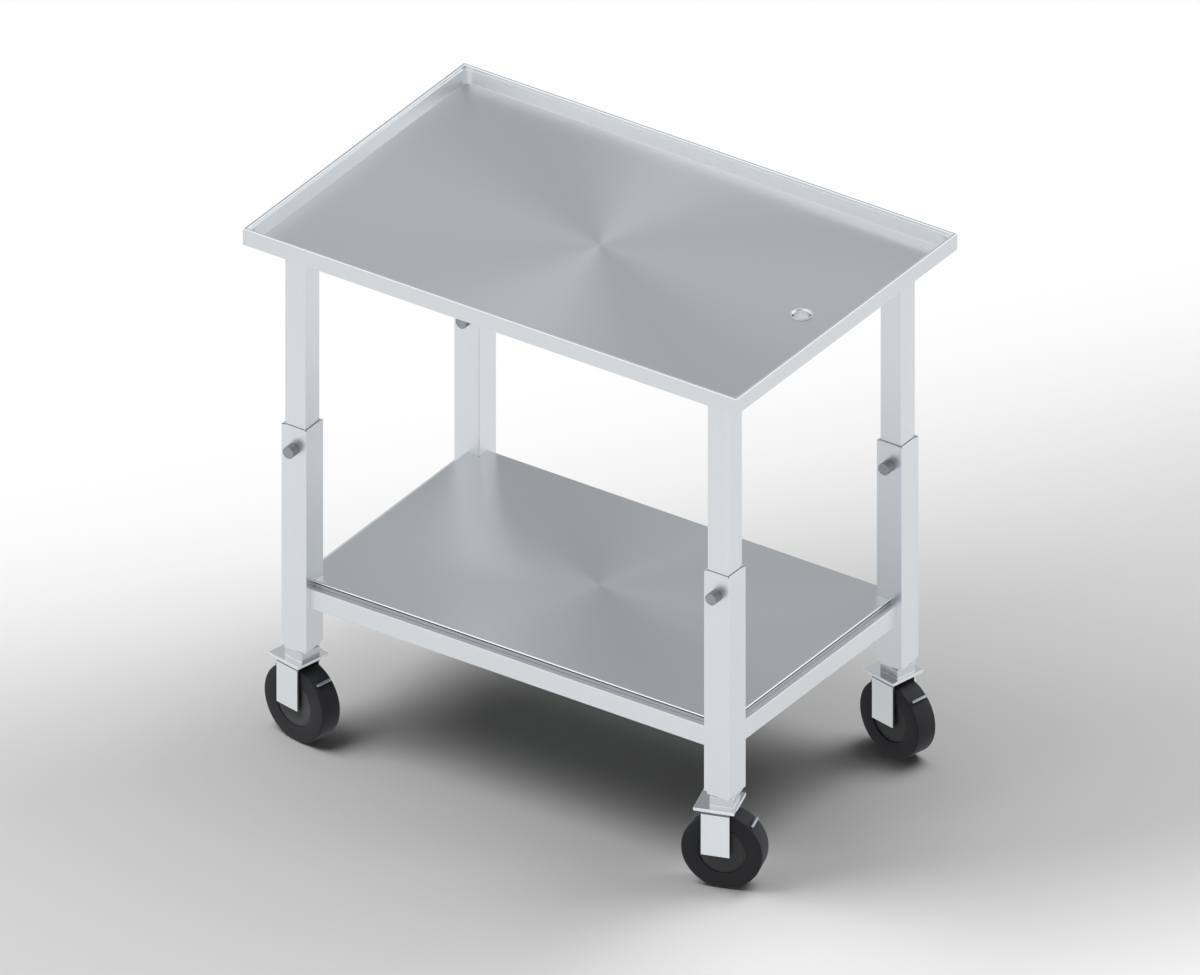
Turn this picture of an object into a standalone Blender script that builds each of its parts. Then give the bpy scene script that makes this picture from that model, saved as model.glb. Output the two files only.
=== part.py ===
"""Dissection cart: a stainless tray with a drain on four telescoping legs, over a shelf on casters.

Metres, +Z up, +X along the length. The origin is on the floor, under the middle of the cart.
"""

import math

import bmesh
import bpy
from mathutils import Matrix

# Tray, one folded sheet: floor, sloping wall, lip, step, flat rim and turned-down skirt
TRAY_LENGTH = 0.9144
TRAY_WIDTH = 0.60325
TRAY_TOP = 0.9144
TRAY_SHEET = 0.0015
RIM_WIDTH = 0.0055
LIP_DROP = 0.005
LIP_WIDTH = 0.0021
WALL_RUN = 0.005
WELL_DEPTH = 0.025
WELL_CORNER = 0.017
RIM_CORNER = 0.0018
SKIRT_DEPTH = 0.0285

# Drain at the right-hand end of the tray
DRAIN_FROM_END = 0.084
DRAIN_FLANGE = 0.037
DRAIN_FLANGE_THICKNESS = 0.0012
DRAIN_FLANGE_BEVEL = 0.0006
DRAIN_BORE = 0.027
DRAIN_WALL = 0.0022
DRAIN_TAIL = 0.034
DRAIN_MOUTH_BEVEL = 0.0014
LOCKNUT_WIDTH = 0.044
LOCKNUT_HEIGHT = 0.006

# Telescoping legs, square tube in square tube
LEG_INSET = 0.0657
INNER_LEG = 0.0381
INNER_LEG_WALL = 0.002
LEG_OVERLAP = 0.230
LEG_CLEARANCE = 0.00095
OUTER_LEG_WALL = 0.0032
OUTER_LEG_LENGTH = 0.3924
TUBE_CORNER = 0.0008

# Plate on top of each inner leg, under the tray floor, and the channels between the plates
LEG_PLATE = 0.090
LEG_PLATE_THICKNESS = 0.004
LEG_PLATE_CORNER = 0.006
CHANNEL_BASE = 0.030
CHANNEL_FLANGE = 0.014
CHANNEL_DEPTH = 0.022
CHANNEL_SHEET = 0.0015
CHANNEL_END_GAP = 0.0008

# Lock screw through the front wall of each outer leg
LOCK_DROP = 0.0372
LOCK_KNOB = 0.020
LOCK_KNOB_LENGTH = 0.016
LOCK_KNOB_BEVEL = 0.0012
LOCK_SHANK = 0.010

# Rails between the outer legs, and the folded shelf that lies on them
RAIL_WIDTH = 0.026
RAIL_HEIGHT = 0.0345
RAIL_UP_LEG = 0.073
RAIL_WALL = 0.002
SHELF_SETBACK = 0.0105
SHELF_RISE = 0.0095
SHELF_SHEET = 0.0015
SHELF_NOTCH_CLEARANCE = 0.0006

# Plug in the foot of each outer leg
PLUG_DEPTH = 0.035
PLUG_SHOWN = 0.0066

# Casters: top plate with a square boss and a stem, kingpin with its race, fork, wheel, brake strap
CASTER_PLATE = 0.066
CASTER_PLATE_THICKNESS = 0.0055
CASTER_PLATE_CORNER = 0.0012
CASTER_OFFSET = 0.0085
BOSS_WIDTH = 0.0381
BOSS_HEIGHT = 0.0155
STEM_DIAMETER = 0.012
STEM_LENGTH = 0.030
KINGPIN_DIAMETER = 0.012
KINGPIN_HEAD = 0.018
KINGPIN_REACH = 0.006
COUNTERSINK_SHARE = 0.8
RACE_DIAMETER = 0.032
RACE_HEIGHT = 0.003
RACE_BEVEL = 0.0008
CROWN_CLEARANCE = 0.003
FORK_LENGTH = 0.0458
FORK_SHEET = 0.0035
FORK_BEND = 0.0065
FORK_SIDE_GAP = 0.00225
FORK_BELOW_AXLE = 0.0065
AXLE_DIAMETER = 0.008
AXLE_TRAIL = 0.0085
WHEEL_DIAMETER = 0.130
WHEEL_WIDTH = 0.038
TYRE_BORE = 0.076
TYRE_EDGE = 0.002
HUB_RECESS = 0.0025
HUB_BOSS = 0.024
BRAKE_GAP = 0.0008
BRAKE_SHEET = 0.0012
BRAKE_BAR_HEIGHT = 0.0066
BRAKE_BAR_LENGTH = 0.0045
BRAKE_BAR_ANGLE = math.radians(44.0)

# Fits
SEAT = 0.0003
HOLE_CLEARANCE = 0.0003
CUT_MARGIN = 0.004
JOIN_OVERLAP = 0.001

# Facets of round pieces
WHEEL_FACETS = 32
ROUND_FACETS = 24
PIN_FACETS = 16
SMALL_FACETS = 12
CORNER_FACETS = 4
TUBE_CORNER_FACETS = 2
TYRE_EDGE_FACETS = 2
BRAKE_FACETS = 7

# Corners: name, side along X, side along Y, and how far the caster is turned
CORNERS = (
    ("front_left", -1, -1, math.radians(-12.0)),
    ("front_right", 1, -1, math.radians(18.0)),
    ("rear_left", -1, 1, math.radians(-12.0)),
    ("rear_right", 1, 1, math.radians(-12.0)),
)

# Sizes that follow from the ones above
OUTER_LEG_BORE = INNER_LEG + 2 * LEG_CLEARANCE
OUTER_LEG = OUTER_LEG_BORE + 2 * OUTER_LEG_WALL
LEG_X = TRAY_LENGTH / 2 - LEG_INSET
LEG_Y = TRAY_WIDTH / 2 - LEG_INSET
TRAY_FLOOR = TRAY_TOP - WELL_DEPTH
TRAY_UNDERSIDE = TRAY_FLOOR - TRAY_SHEET
LEG_PLATE_TOP = TRAY_UNDERSIDE - SEAT
LEG_PLATE_UNDERSIDE = LEG_PLATE_TOP - LEG_PLATE_THICKNESS
DRAIN_X = TRAY_LENGTH / 2 - DRAIN_FROM_END
DRAIN_TUBE = DRAIN_BORE + 2 * DRAIN_WALL
AXLE_HEIGHT = WHEEL_DIAMETER / 2
CROWN_UNDERSIDE = WHEEL_DIAMETER + CROWN_CLEARANCE
CROWN_TOP = CROWN_UNDERSIDE + FORK_SHEET
CASTER_PLATE_UNDERSIDE = CROWN_TOP + RACE_HEIGHT
CASTER_PLATE_TOP = CASTER_PLATE_UNDERSIDE + CASTER_PLATE_THICKNESS
BOSS_TOP = CASTER_PLATE_TOP + BOSS_HEIGHT
PLUG_UNDERSIDE = BOSS_TOP + SEAT
PLUG_WIDTH = OUTER_LEG_BORE - 2 * SEAT
OUTER_LEG_BOTTOM = PLUG_UNDERSIDE + PLUG_SHOWN
OUTER_LEG_TOP = OUTER_LEG_BOTTOM + OUTER_LEG_LENGTH
INNER_LEG_BOTTOM = OUTER_LEG_TOP - LEG_OVERLAP
INNER_LEG_TOP = LEG_PLATE_UNDERSIDE - SEAT
LOCK_HEIGHT = OUTER_LEG_TOP - LOCK_DROP
RAIL_TOP = OUTER_LEG_BOTTOM + RAIL_UP_LEG + RAIL_HEIGHT
SHELF_TOP = RAIL_TOP + SHELF_RISE
FORK_INNER = WHEEL_WIDTH / 2 + FORK_SIDE_GAP
FORK_OUTER = FORK_INNER + FORK_SHEET
FORK_BOTTOM = AXLE_HEIGHT - FORK_BELOW_AXLE
BRAKE_WIDTH = 2 * (FORK_INNER - FORK_BEND - SEAT)

# Finishes: colour, roughness and metallic value
STEEL = ((0.66, 0.68, 0.70), 0.32, 1.0)
BRUSHED = ((0.50, 0.53, 0.55), 0.38, 1.0)
PLATED = ((0.70, 0.72, 0.74), 0.25, 1.0)
DARK_STEEL = ((0.22, 0.24, 0.26), 0.35, 1.0)
RUBBER = ((0.025, 0.026, 0.029), 0.65, 0.0)
HUB_PLASTIC = ((0.055, 0.056, 0.058), 0.5, 0.0)

# Turns that lay an upright extrusion along X, or along -Y
ALONG_X = Matrix(((0, 0, 1, 0), (1, 0, 0, 0), (0, 1, 0, 0), (0, 0, 0, 1)))
ALONG_FRONT = Matrix.Rotation(math.pi / 2, 4, "X")


def clear_scene():
    for old in list(bpy.data.objects):
        bpy.data.objects.remove(old, do_unlink=True)


def new_collection(name):
    collection = bpy.data.collections.new(name)
    bpy.context.scene.collection.children.link(collection)
    return collection


def tidy_mesh(mesh):
    shape = bmesh.new()
    shape.from_mesh(mesh)
    bmesh.ops.remove_doubles(shape, verts=shape.verts, dist=0.00002)
    bmesh.ops.recalc_face_normals(shape, faces=shape.faces)
    shape.to_mesh(mesh)
    shape.free()
    return mesh


def baked(source):
    """The evaluated mesh of an object, which is then removed."""
    bpy.context.view_layer.update()
    graph = bpy.context.evaluated_depsgraph_get()
    mesh = bpy.data.meshes.new_from_object(source.evaluated_get(graph))
    bpy.data.objects.remove(source, do_unlink=True)
    return tidy_mesh(mesh)


def rounded_rectangle(size_x, size_y, radius, facets=TUBE_CORNER_FACETS):
    points = []
    for quarter, (sx, sy) in enumerate(((1, 1), (-1, 1), (-1, -1), (1, -1))):
        for step in range(facets + 1):
            angle = math.pi / 2 * (quarter + step / facets)
            x = sx * (size_x / 2 - radius) + radius * math.cos(angle)
            y = sy * (size_y / 2 - radius) + radius * math.sin(angle)
            points.append((x, y))
    return points


def rectangle(size_x, size_y):
    x, y = size_x / 2, size_y / 2
    return [(x, y), (-x, y), (-x, -y), (x, -y)]


def circle(diameter, facets):
    angles = [math.tau * step / facets for step in range(facets)]
    return [(diameter / 2 * math.cos(a), diameter / 2 * math.sin(a)) for a in angles]


def extruded(loops, bottom, top):
    """A flat outline, with holes where further loops lie inside it, raised from bottom to top."""
    curve = bpy.data.curves.new("outline", "CURVE")
    curve.dimensions = "2D"
    curve.fill_mode = "BOTH"
    curve.extrude = (top - bottom) / 2
    for loop in loops:
        spline = curve.splines.new("POLY")
        spline.points.add(len(loop) - 1)
        spline.use_cyclic_u = True
        for point, (x, y) in zip(spline.points, loop):
            point.co = (x, y, 0, 1)
    outline = bpy.data.objects.new("outline", curve)
    bpy.context.scene.collection.objects.link(outline)
    mesh = baked(outline)
    mesh.transform(Matrix.Translation((0, 0, (top + bottom) / 2)))
    return mesh


def turned(profile, facets, closed=False):
    """A profile of (radius, height) points turned about Z, listed from the top down its outer side."""
    mesh = bpy.data.meshes.new("profile")
    ends = range(len(profile) if closed else len(profile) - 1)
    edges = [(index, (index + 1) % len(profile)) for index in ends]
    mesh.from_pydata([(radius, 0, height) for radius, height in profile], edges, [])
    spindle = bpy.data.objects.new("profile", mesh)
    bpy.context.scene.collection.objects.link(spindle)
    screw = spindle.modifiers.new("turn", "SCREW")
    screw.steps = facets
    screw.render_steps = facets
    screw.use_merge_vertices = True
    screw.merge_threshold = 0.00002
    return baked(spindle)


def lofted(rings):
    """Rings with equal numbers of points, joined in order, with the first and last filled."""
    shape = bmesh.new()
    loops = [[shape.verts.new(point) for point in ring] for ring in rings]
    for lower, upper in zip(loops, loops[1:]):
        for index in range(len(lower)):
            after = (index + 1) % len(lower)
            shape.faces.new((lower[index], lower[after], upper[after], upper[index]))
    shape.faces.new(loops[0])
    shape.faces.new(loops[-1])
    mesh = bpy.data.meshes.new("loft")
    shape.to_mesh(mesh)
    shape.free()
    return tidy_mesh(mesh)


def moved(mesh, x=0.0, y=0.0, z=0.0):
    mesh.transform(Matrix.Translation((x, y, z)))
    return mesh


def laid(mesh, turn):
    mesh.transform(turn)
    return mesh


def combined(base, steps):
    """A mesh joined to, or cut by, further meshes in turn, each with its Boolean operation."""
    body = bpy.data.objects.new("body", base)
    bpy.context.scene.collection.objects.link(body)
    tools = []
    for operation, mesh in steps:
        tool = bpy.data.objects.new("tool", mesh)
        cutters.objects.link(tool)
        tools.append(tool)
        change = body.modifiers.new(operation.lower(), "BOOLEAN")
        change.operation = operation
        change.object = tool
    mesh = baked(body)
    for tool in tools:
        bpy.data.objects.remove(tool, do_unlink=True)
    return mesh


def piece(name, mesh, finish, place=(0, 0, 0), parent=None, spin=None, round_form=False):
    if round_form:
        mesh.shade_smooth()
        mesh.set_sharp_from_angle(angle=math.radians(35))
    part = bpy.data.objects.new(name, mesh.copy())
    parts.objects.link(part)
    part.location = place
    if spin is not None:
        part.rotation_euler = spin
    part.parent = parent
    colour, roughness, metallic = finish
    material = bpy.data.materials.new(name)
    material.use_nodes = True
    shader = material.node_tree.nodes["Principled BSDF"]
    shader.inputs["Base Color"].default_value = (*colour, 1.0)
    shader.inputs["Roughness"].default_value = roughness
    shader.inputs["Metallic"].default_value = metallic
    part.data.materials.append(material)
    return part


def cut_live(part, name, mesh):
    """A cutter that stays in the file, on a piece that stands only once."""
    cutter = bpy.data.objects.new(name, mesh)
    cutters.objects.link(cutter)
    cutter.hide_render = True
    cutter.display_type = "WIRE"
    change = part.modifiers.new(name, "BOOLEAN")
    change.operation = "DIFFERENCE"
    change.object = cutter


def offset_path(path, distance):
    """An open path moved sideways by distance, with mitred corners."""
    normals = []
    for (x0, z0), (x1, z1) in zip(path, path[1:]):
        length = math.hypot(x1 - x0, z1 - z0)
        normals.append(((z1 - z0) / length, -(x1 - x0) / length))
    joined = [normals[0]] + list(zip(normals, normals[1:])) + [normals[-1]]
    shifted = []
    for (x, z), normal in zip(path, joined):
        if isinstance(normal[0], tuple):
            (ax, az), (bx, bz) = normal
            scale = 1 / (1 + ax * bx + az * bz)
            normal = ((ax + bx) * scale, (az + bz) * scale)
        shifted.append((x + normal[0] * distance, z + normal[1] * distance))
    return shifted


def tray_mesh():
    """The folded sheet, lofted through rounded rectangles from the well floor out to the skirt."""
    lip_inner = RIM_WIDTH + LIP_WIDTH
    well_floor = lip_inner + WALL_RUN
    path = [
        (well_floor, -WELL_DEPTH),
        (lip_inner, -LIP_DROP),
        (RIM_WIDTH, -LIP_DROP),
        (RIM_WIDTH, 0.0),
        (0.0, 0.0),
        (0.0, -SKIRT_DEPTH),
    ]
    corners = [WELL_CORNER - WALL_RUN, WELL_CORNER, RIM_CORNER, RIM_CORNER, RIM_CORNER, RIM_CORNER]
    under = offset_path(path, -TRAY_SHEET)
    under[0] = (under[0][0], -WELL_DEPTH - TRAY_SHEET)
    under_corners = [
        max(corner - (low - high), SEAT)
        for corner, (low, _), (high, _) in zip(corners, under, path)
    ]
    section = list(zip(path, corners)) + list(zip(under, under_corners))[::-1]
    rings = []
    for (inset, height), corner in section:
        outline = rounded_rectangle(
            TRAY_LENGTH - 2 * inset, TRAY_WIDTH - 2 * inset, corner, CORNER_FACETS
        )
        rings.append([(x, y, TRAY_TOP + height) for x, y in outline])
    return lofted(rings)


def build_tray():
    tray = piece("tray", tray_mesh(), BRUSHED)
    hole = extruded(
        [circle(DRAIN_TUBE + 2 * HOLE_CLEARANCE, ROUND_FACETS)],
        TRAY_UNDERSIDE - CUT_MARGIN,
        TRAY_FLOOR + CUT_MARGIN,
    )
    cut_live(tray, "drain_hole", moved(hole, x=DRAIN_X))


def build_drain():
    seat = TRAY_FLOOR + SEAT
    top = seat + DRAIN_FLANGE_THICKNESS
    tail = TRAY_UNDERSIDE - DRAIN_TAIL
    bore, tube, flange = DRAIN_BORE / 2, DRAIN_TUBE / 2, DRAIN_FLANGE / 2
    profile = [
        (bore, top - DRAIN_MOUTH_BEVEL),
        (bore + DRAIN_MOUTH_BEVEL, top),
        (flange - DRAIN_FLANGE_BEVEL, top),
        (flange, top - DRAIN_FLANGE_BEVEL),
        (flange, seat),
        (tube, seat),
        (tube, tail),
        (bore, tail),
    ]
    piece(
        "drain_body",
        moved(turned(profile, ROUND_FACETS, closed=True), x=DRAIN_X),
        PLATED,
        round_form=True,
    )
    nut_top = TRAY_UNDERSIDE - SEAT
    hexagon = circle(LOCKNUT_WIDTH / math.cos(math.pi / 6), 6)
    opening = circle(DRAIN_TUBE + 2 * HOLE_CLEARANCE, ROUND_FACETS)
    locknut = extruded([hexagon, opening], nut_top - LOCKNUT_HEIGHT, nut_top)
    piece("drain_locknut", moved(locknut, x=DRAIN_X), PLATED)


def square_tube(width, wall, bottom, top):
    outer = rounded_rectangle(width, width, TUBE_CORNER)
    inner = rectangle(width - 2 * wall, width - 2 * wall)
    return extruded([outer, inner], bottom, top)


def build_upper_legs():
    tube = square_tube(INNER_LEG, INNER_LEG_WALL, INNER_LEG_BOTTOM, INNER_LEG_TOP)
    outline = rounded_rectangle(LEG_PLATE, LEG_PLATE, LEG_PLATE_CORNER)
    plate = extruded([outline], LEG_PLATE_UNDERSIDE, LEG_PLATE_TOP)
    for name, side_x, side_y, _ in CORNERS:
        place = (side_x * LEG_X, side_y * LEG_Y, 0)
        piece("inner_leg_" + name, tube, STEEL, place)
        piece("leg_plate_" + name, plate, STEEL, place)


def build_channels():
    """Hat channels under the tray floor, from leg plate to leg plate."""
    half = CHANNEL_BASE / 2
    edge = half + CHANNEL_FLANGE
    top = TRAY_UNDERSIDE - SEAT
    low = top - CHANNEL_DEPTH
    sheet = CHANNEL_SHEET
    right = [(edge, top), (half - sheet, top), (half - sheet, low + sheet)]
    right_under = [(half, low), (half, top - sheet), (edge, top - sheet)]
    left = [(-y, z) for y, z in right[::-1]]
    left_under = [(-y, z) for y, z in right_under[::-1]]
    outline = right + left + left_under + right_under
    reach = LEG_X - LEG_PLATE / 2 - CHANNEL_END_GAP
    channel = laid(extruded([outline], -reach, reach), ALONG_X)
    for name, side in (("front", -1), ("rear", 1)):
        piece("tray_channel_" + name, channel, STEEL, (0, side * LEG_Y, 0))


def build_outer_legs():
    shank_hole = extruded(
        [circle(LOCK_SHANK + 2 * HOLE_CLEARANCE, ROUND_FACETS)], 0, OUTER_LEG / 2 + CUT_MARGIN
    )
    tube = combined(
        square_tube(OUTER_LEG, OUTER_LEG_WALL, OUTER_LEG_BOTTOM, OUTER_LEG_TOP),
        [("DIFFERENCE", moved(laid(shank_hole, ALONG_FRONT), z=LOCK_HEIGHT))],
    )
    for name, side_x, side_y, _ in CORNERS:
        piece("outer_leg_" + name, tube, STEEL, (side_x * LEG_X, side_y * LEG_Y, 0))


def build_lock_screws():
    """A round knob and a shank in one, whose tip bears on the inner leg."""
    face = OUTER_LEG / 2 + SEAT
    tip = INNER_LEG / 2 + SEAT
    knob, shank = LOCK_KNOB / 2, LOCK_SHANK / 2
    end = face + LOCK_KNOB_LENGTH
    profile = [
        (0, end),
        (knob - LOCK_KNOB_BEVEL, end),
        (knob, end - LOCK_KNOB_BEVEL),
        (knob, face + LOCK_KNOB_BEVEL),
        (knob - LOCK_KNOB_BEVEL, face),
        (shank, face),
        (shank, tip),
        (0, tip),
    ]
    screw = laid(turned(profile, ROUND_FACETS), ALONG_FRONT)
    for name, side_x, side_y, _ in CORNERS:
        place = (side_x * LEG_X, side_y * LEG_Y, LOCK_HEIGHT)
        piece("lock_screw_" + name, screw, DARK_STEEL, place, round_form=True)


def build_rails():
    outer = rectangle(RAIL_WIDTH, RAIL_HEIGHT)
    inner = rectangle(RAIL_WIDTH - 2 * RAIL_WALL, RAIL_HEIGHT - 2 * RAIL_WALL)
    middle = RAIL_TOP - RAIL_HEIGHT / 2
    reach_x = LEG_X - OUTER_LEG / 2 - SEAT
    reach_y = LEG_Y - OUTER_LEG / 2 - SEAT
    long_rail = laid(extruded([outer, inner], -reach_x, reach_x), ALONG_X)
    short_rail = laid(extruded([outer, inner], -reach_y, reach_y), ALONG_FRONT)
    piece("rail_front", long_rail, STEEL, (0, -LEG_Y, middle))
    piece("rail_rear", long_rail, STEEL, (0, LEG_Y, middle))
    piece("rail_left", short_rail, STEEL, (-LEG_X, 0, middle))
    piece("rail_right", short_rail, STEEL, (LEG_X, 0, middle))


def build_shelf():
    """A sheet notched round the legs, with a short flange folded down all round."""
    edge_x = LEG_X + RAIL_WIDTH / 2 - SHELF_SETBACK
    edge_y = LEG_Y + RAIL_WIDTH / 2 - SHELF_SETBACK
    notch_x = LEG_X - OUTER_LEG / 2 - SHELF_NOTCH_CLEARANCE
    notch_y = LEG_Y - OUTER_LEG / 2 - SHELF_NOTCH_CLEARANCE
    outline = [
        (edge_x, notch_y),
        (notch_x, notch_y),
        (notch_x, edge_y),
        (-notch_x, edge_y),
        (-notch_x, notch_y),
        (-edge_x, notch_y),
        (-edge_x, -notch_y),
        (-notch_x, -notch_y),
        (-notch_x, -edge_y),
        (notch_x, -edge_y),
        (notch_x, -notch_y),
        (edge_x, -notch_y),
    ]
    shape = bmesh.new()
    sheet = shape.faces.new([shape.verts.new((x, y, SHELF_TOP)) for x, y in outline])
    folded = bmesh.ops.extrude_edge_only(shape, edges=sheet.edges[:])
    lower = [item for item in folded["geom"] if isinstance(item, bmesh.types.BMVert)]
    bmesh.ops.translate(shape, verts=lower, vec=(0, 0, RAIL_TOP + SEAT - SHELF_TOP))
    bmesh.ops.recalc_face_normals(shape, faces=shape.faces)
    mesh = bpy.data.meshes.new("shelf")
    shape.to_mesh(mesh)
    shape.free()
    shelf = piece("shelf", mesh, BRUSHED)
    wall = shelf.modifiers.new("sheet", "SOLIDIFY")
    wall.thickness = SHELF_SHEET
    wall.offset = -1
    wall.use_even_offset = True


def build_plugs():
    stem_hole = extruded(
        [circle(STEM_DIAMETER + 2 * HOLE_CLEARANCE, SMALL_FACETS)],
        BOSS_TOP - CUT_MARGIN,
        BOSS_TOP + STEM_LENGTH + SEAT,
    )
    block = extruded(
        [rectangle(PLUG_WIDTH, PLUG_WIDTH)], PLUG_UNDERSIDE, OUTER_LEG_BOTTOM + PLUG_DEPTH
    )
    plug = combined(block, [("DIFFERENCE", stem_hole)])
    for name, side_x, side_y, _ in CORNERS:
        piece("leg_plug_" + name, plug, STEEL, (side_x * LEG_X, side_y * LEG_Y, 0))


def caster_plate_mesh():
    """Plate, square boss under the leg and stem, with a blind bore for the kingpin."""
    plate = extruded(
        [rounded_rectangle(CASTER_PLATE, CASTER_PLATE, CASTER_PLATE_CORNER, CORNER_FACETS)],
        CASTER_PLATE_UNDERSIDE,
        CASTER_PLATE_TOP,
    )
    boss = extruded(
        [rounded_rectangle(BOSS_WIDTH, BOSS_WIDTH, TUBE_CORNER)],
        CASTER_PLATE_TOP - JOIN_OVERLAP,
        BOSS_TOP,
    )
    stem = extruded(
        [circle(STEM_DIAMETER, SMALL_FACETS)], BOSS_TOP - JOIN_OVERLAP, BOSS_TOP + STEM_LENGTH
    )
    bore = extruded(
        [circle(KINGPIN_DIAMETER + 2 * HOLE_CLEARANCE, PIN_FACETS)],
        CASTER_PLATE_UNDERSIDE - CUT_MARGIN,
        CASTER_PLATE_UNDERSIDE + KINGPIN_REACH + SEAT,
    )
    return combined(
        plate,
        [
            ("UNION", moved(boss, x=CASTER_OFFSET)),
            ("UNION", moved(stem, x=CASTER_OFFSET)),
            ("DIFFERENCE", bore),
        ],
    )


def kingpin_mesh():
    """Pin with a race collar between plate and crown, and a head countersunk into the crown."""
    pin, head, rim = KINGPIN_DIAMETER / 2, KINGPIN_HEAD / 2, RACE_DIAMETER / 2
    race_top = CASTER_PLATE_UNDERSIDE - SEAT
    race_bottom = CROWN_TOP + SEAT
    profile = [
        (0, CASTER_PLATE_UNDERSIDE + KINGPIN_REACH),
        (pin, CASTER_PLATE_UNDERSIDE + KINGPIN_REACH),
        (pin, race_top),
        (rim - RACE_BEVEL, race_top),
        (rim, race_top - RACE_BEVEL),
        (rim, race_bottom + RACE_BEVEL),
        (rim - RACE_BEVEL, race_bottom),
        (pin, race_bottom),
        (pin, CROWN_UNDERSIDE + COUNTERSINK_SHARE * FORK_SHEET),
        (head, CROWN_UNDERSIDE),
        (0, CROWN_UNDERSIDE),
    ]
    return turned(profile, PIN_FACETS)


def kingpin_hole_mesh():
    pin = KINGPIN_DIAMETER / 2 + HOLE_CLEARANCE
    head = KINGPIN_HEAD / 2 + HOLE_CLEARANCE
    profile = [
        (0, CROWN_TOP + CUT_MARGIN),
        (pin, CROWN_TOP + CUT_MARGIN),
        (pin, CROWN_UNDERSIDE + COUNTERSINK_SHARE * FORK_SHEET),
        (head, CROWN_UNDERSIDE),
        (head, CROWN_UNDERSIDE - CUT_MARGIN),
        (0, CROWN_UNDERSIDE - CUT_MARGIN),
    ]
    return turned(profile, PIN_FACETS)


def fork_mesh():
    """A strip bent to an upside-down U, bored for the axle and countersunk for the kingpin."""
    bend_out = FORK_BEND + FORK_SHEET
    arc_y = FORK_INNER - FORK_BEND
    arc_z = CROWN_UNDERSIDE - FORK_BEND
    quarter = [math.pi / 2 * step / CORNER_FACETS for step in range(CORNER_FACETS + 1)]
    outer = [(arc_y + bend_out * math.cos(a), arc_z + bend_out * math.sin(a)) for a in quarter]
    inner = [(arc_y + FORK_BEND * math.cos(a), arc_z + FORK_BEND * math.sin(a)) for a in quarter]
    right_out = [(FORK_OUTER, FORK_BOTTOM)] + outer
    right_in = [(FORK_INNER, FORK_BOTTOM)] + inner
    left_out = [(-y, z) for y, z in right_out[::-1]]
    left_in = [(-y, z) for y, z in right_in]
    outline = right_out + left_out + left_in + right_in[::-1]
    strip = laid(extruded([outline], -FORK_LENGTH / 2, FORK_LENGTH / 2), ALONG_X)
    axle_hole = extruded(
        [circle(AXLE_DIAMETER + 2 * HOLE_CLEARANCE, SMALL_FACETS)],
        -FORK_OUTER - CUT_MARGIN,
        FORK_OUTER + CUT_MARGIN,
    )
    axle_hole = moved(laid(axle_hole, ALONG_FRONT), x=AXLE_TRAIL, z=AXLE_HEIGHT)
    return combined(strip, [("DIFFERENCE", axle_hole), ("DIFFERENCE", kingpin_hole_mesh())])


def wheel_profile(corner_radius, inner, outer, half_width):
    arc = [math.pi / 2 * step / TYRE_EDGE_FACETS for step in range(TYRE_EDGE_FACETS + 1)]
    middle_r = outer - corner_radius
    middle_z = half_width - corner_radius
    upper = [
        (middle_r + corner_radius * math.sin(a), middle_z + corner_radius * math.cos(a)) for a in arc
    ]
    lower = [(radius, -height) for radius, height in upper[::-1]]
    return [(inner, half_width)] + upper + lower + [(inner, -half_width)]


def wheel_meshes():
    """Tyre and hub, turned so that a flat of each lies at the bottom."""
    flat_to_corner = 1 / math.cos(math.pi / WHEEL_FACETS)
    half = WHEEL_WIDTH / 2
    tyre_profile = wheel_profile(
        TYRE_EDGE, TYRE_BORE / 2 * flat_to_corner, WHEEL_DIAMETER / 2 * flat_to_corner, half
    )
    rim = (TYRE_BORE / 2 - SEAT) * flat_to_corner
    bore = AXLE_DIAMETER / 2 + HOLE_CLEARANCE
    face = half - HUB_RECESS
    nose = FORK_INNER - SEAT
    boss = HUB_BOSS / 2
    hub_profile = [
        (bore, nose),
        (boss, nose),
        (boss, face),
        (rim, face),
        (rim, -face),
        (boss, -face),
        (boss, -nose),
        (bore, -nose),
    ]
    half_facet = Matrix.Rotation(math.pi / WHEEL_FACETS, 4, "Z")
    stand = ALONG_FRONT @ half_facet
    tyre = laid(turned(tyre_profile, WHEEL_FACETS, closed=True), stand)
    hub = laid(turned(hub_profile, WHEEL_FACETS, closed=True), stand)
    return tyre, hub


def brake_mesh():
    """A curved strap over the tread, fixed under the crown, with a bar across its free end."""
    inner = WHEEL_DIAMETER / 2 + BRAKE_GAP
    outer = inner + BRAKE_SHEET
    bar_top = inner + BRAKE_BAR_HEIGHT
    bar_end = BRAKE_BAR_ANGLE + BRAKE_BAR_LENGTH / inner
    pad_near = KINGPIN_HEAD / 2 + HOLE_CLEARANCE + SEAT * 4
    pad_far = FORK_LENGTH / 2 - SEAT
    pad_top = CROWN_UNDERSIDE - SEAT
    root = math.acos((pad_near - AXLE_TRAIL) / inner)
    fold = math.acos((pad_far - AXLE_TRAIL) / outer)

    def on_arc(radius, angle):
        return (AXLE_TRAIL + radius * math.cos(angle), AXLE_HEIGHT + radius * math.sin(angle))

    steps = [step / BRAKE_FACETS for step in range(BRAKE_FACETS + 1)]
    under = [on_arc(inner, BRAKE_BAR_ANGLE + (root - BRAKE_BAR_ANGLE) * step) for step in steps]
    over = [on_arc(outer, fold + (bar_end - fold) * step) for step in steps]
    pad = [(under[-1][0], pad_top), (pad_far, pad_top)]
    bar = [on_arc(bar_top, bar_end), on_arc(bar_top, BRAKE_BAR_ANGLE)]
    outline = under + pad + over + bar
    return laid(extruded([outline], -BRAKE_WIDTH / 2, BRAKE_WIDTH / 2), ALONG_FRONT)


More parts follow.
